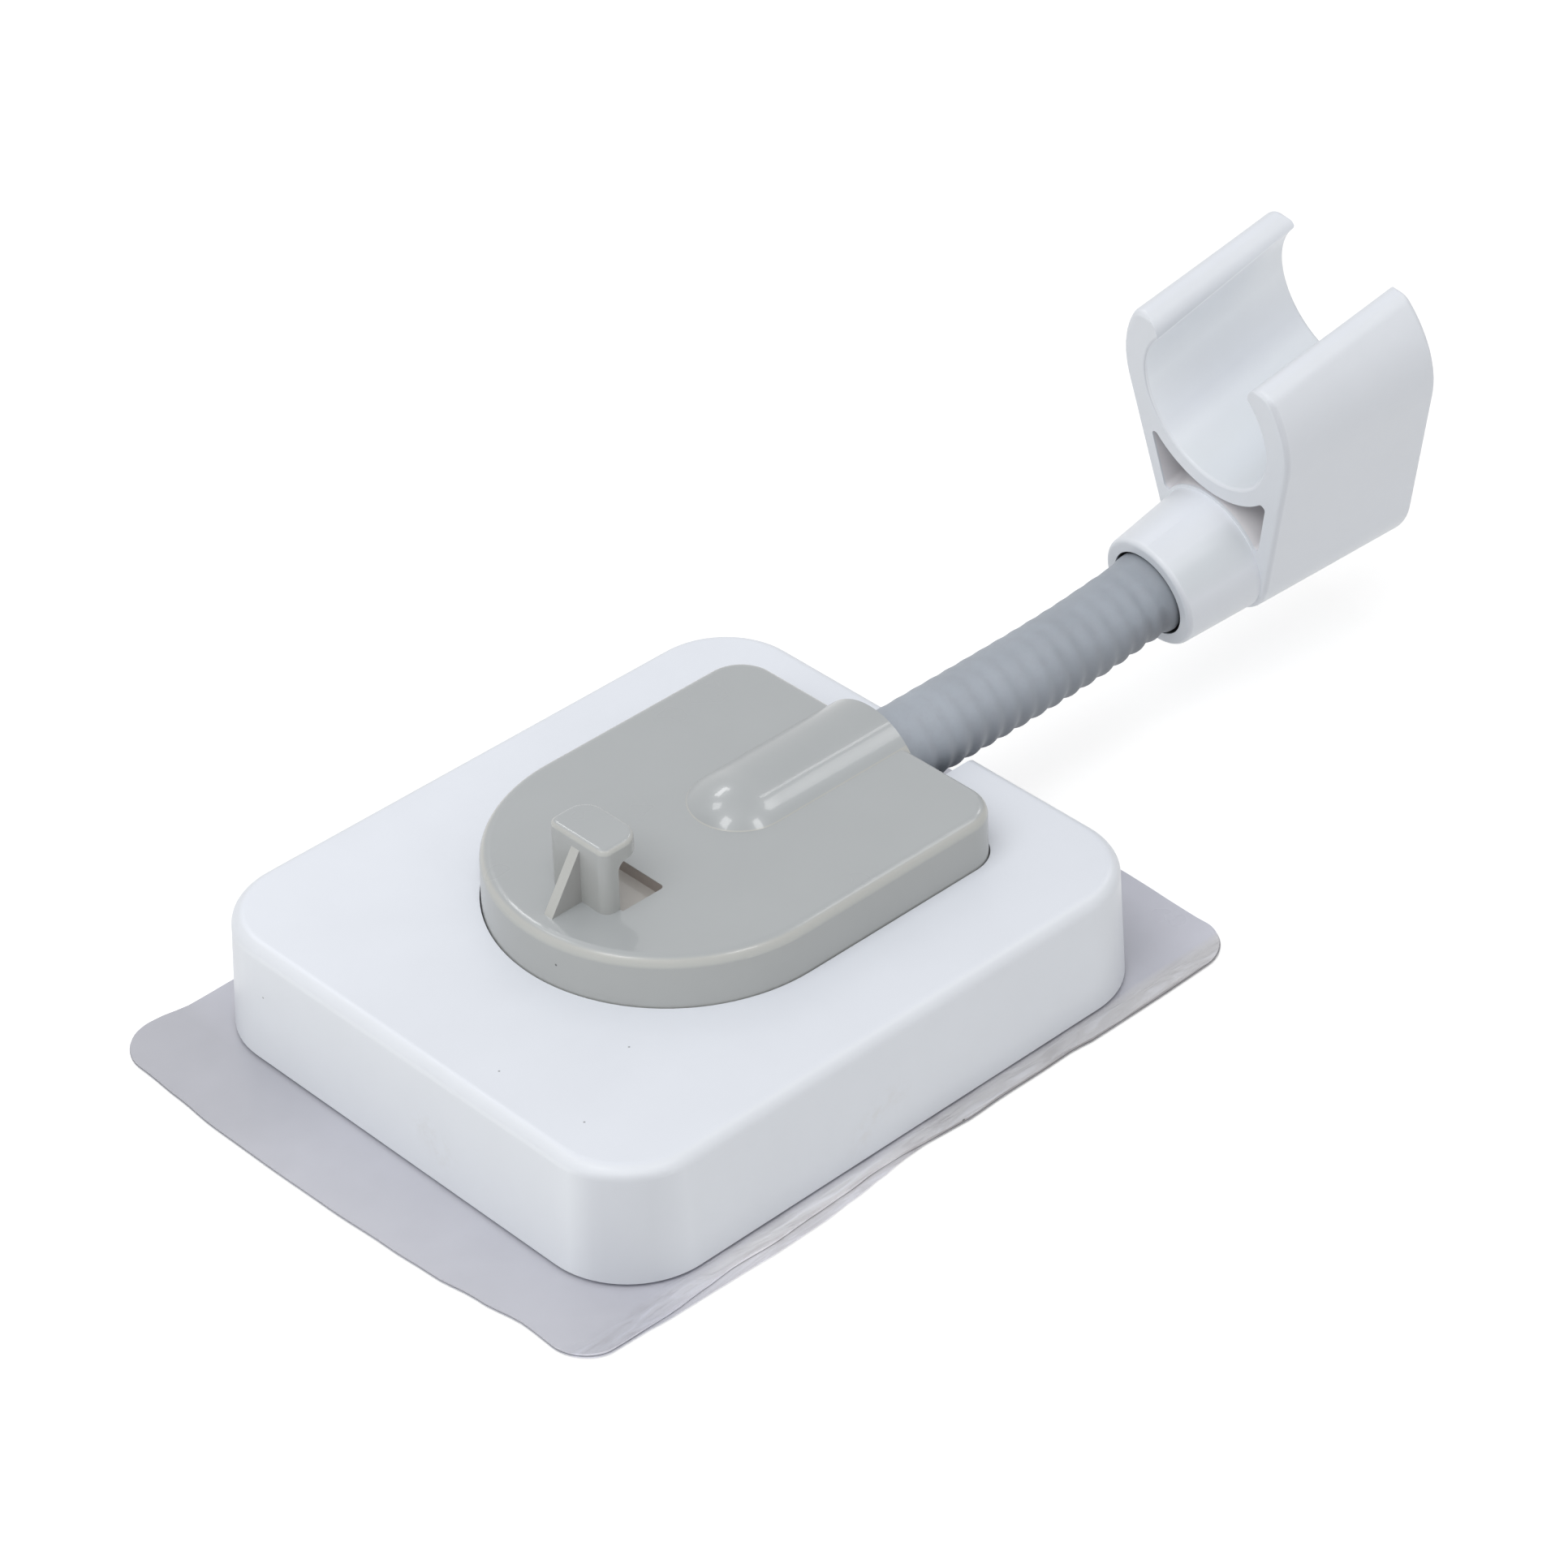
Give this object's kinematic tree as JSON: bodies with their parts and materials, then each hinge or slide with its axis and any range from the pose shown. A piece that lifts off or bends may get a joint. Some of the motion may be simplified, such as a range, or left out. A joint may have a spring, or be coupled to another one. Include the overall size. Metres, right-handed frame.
{
  "type": "hand shower holder",
  "caption": "Stick-on wall holder for a hand shower: white base with a grey clamp plate and hook, short bendable neck and an open C-shaped cradle.",
  "frame": {"origin": "centre of the liner's back face, on the wall", "axes": "+X from the hook towards the cradle, +Z away from the wall"},
  "size_m": [0.2002, 0.0986, 0.0705],
  "materials": {
    "white_plastic": "satin",
    "grey_plastic": "satin",
    "sleeve_rubber": "satin",
    "core_steel": "plain",
    "screw_steel": "plain",
    "adhesive": "gloss",
    "liner": "gloss"
  },
  "bodies": {
    "base": {"release_liner": "liner", "adhesive_film": "adhesive", "cover": "white_plastic", "back_plate": "white_plastic", "clamp_plate": "grey_plastic", "plate_screw_1": "screw_steel", "plate_screw_2": "screw_steel", "plate_screw_3": "screw_steel", "plate_screw_4": "screw_steel", "root_ferrule": "grey_plastic", "core_root": "core_steel", "neck_sleeve": "sleeve_rubber"},
    "neck_1": {"core_section_1": "core_steel"},
    "neck_2": {"core_section_2": "core_steel"},
    "neck_3": {"core_section_3": "core_steel"},
    "neck_4": {"core_section_4": "core_steel"},
    "neck_5": {"core_section_5": "core_steel"},
    "neck_tip": {"core_tip": "core_steel", "end_plug": "grey_plastic"},
    "cradle": {"cradle": "white_plastic"}
  },
  "joints": [
    {"name": "neck_pitch_1", "type": "hinge", "parent": "base", "child": "neck_1", "pos_m": [0.046, 0, 0.02045], "axis": [0, -1, 0], "range_deg": [-2, 25], "deforming": ["neck_sleeve"]},
    {"name": "neck_yaw_1", "type": "hinge", "parent": "neck_1", "child": "neck_2", "pos_m": [0.0544, 0, 0.02045], "axis": [0, 0, 1], "range_deg": [-20, 20], "deforming": ["neck_sleeve"]},
    {"name": "neck_pitch_2", "type": "hinge", "parent": "neck_2", "child": "neck_3", "pos_m": [0.0628, 0, 0.02045], "axis": [0, -1, 0], "range_deg": [-2, 25], "deforming": ["neck_sleeve"]},
    {"name": "neck_yaw_2", "type": "hinge", "parent": "neck_3", "child": "neck_4", "pos_m": [0.0712, 0, 0.02052], "axis": [-0.0349, 0, 0.9994], "range_deg": [-20, 20], "deforming": ["neck_sleeve"]},
    {"name": "neck_pitch_3", "type": "hinge", "parent": "neck_4", "child": "neck_5", "pos_m": [0.07959, 0, 0.02082], "axis": [0, -1, 0], "range_deg": [-2, 25], "deforming": ["neck_sleeve"]},
    {"name": "neck_yaw_3", "type": "hinge", "parent": "neck_5", "child": "neck_tip", "pos_m": [0.08796, 0, 0.02155], "axis": [-0.1816, 0.0152, 0.9833], "range_deg": [-20, 20], "deforming": ["neck_sleeve"]},
    {"name": "cradle_swivel", "type": "hinge", "parent": "neck_tip", "child": "cradle", "pos_m": [0.09345, -0.00046, 0.02257], "axis": [0.9798, -0.0823, 0.1822], "range_deg": [-90, 90]}
  ]
}
